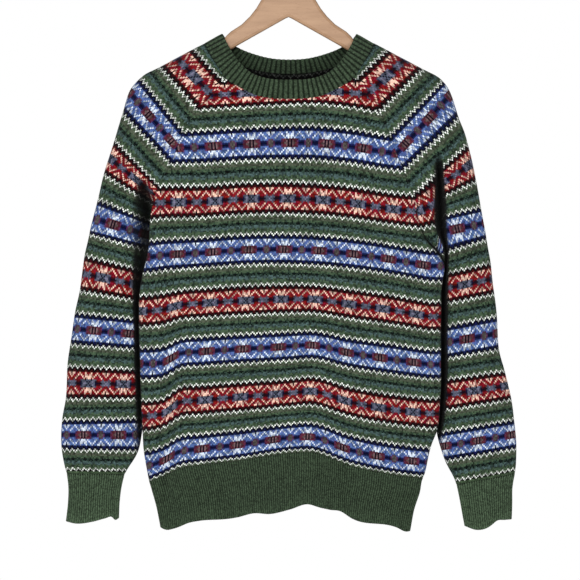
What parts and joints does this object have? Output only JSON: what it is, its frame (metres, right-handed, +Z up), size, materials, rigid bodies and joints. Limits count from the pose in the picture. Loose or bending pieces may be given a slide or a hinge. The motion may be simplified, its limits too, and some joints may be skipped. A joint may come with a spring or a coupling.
{
  "type": "fair isle jumper on a coat hanger",
  "caption": "Crew-neck jumper with raglan sleeves, patterned knit panels and ribbed neck, hem and cuffs, hanging on a flat wooden coat hanger.",
  "frame": {"origin": "inner apex of the hanger's hook, where a rail holds it", "axes": "+Z up, the jumper's front faces -Y, +X to the right as seen from the front"},
  "size_m": [0.6612, 0.0711, 0.8698],
  "materials": {
    "fair_isle_knit": "soft stranded wool knit in red, blue and green bands",
    "green_rib": "soft ribbed wool knit",
    "beech": "smooth satin beech",
    "hook_steel": "plated wire"
  },
  "bodies": {
    "root": {"front": "fair_isle_knit", "back": "fair_isle_knit", "sleeve_left": "fair_isle_knit", "sleeve_right": "fair_isle_knit", "neck_rib": "green_rib", "hem_rib_front": "green_rib", "hem_rib_back": "green_rib", "cuff_left": "green_rib", "cuff_right": "green_rib", "hanger": "beech", "hanger_hook": "hook_steel"}
  },
  "joints": []
}
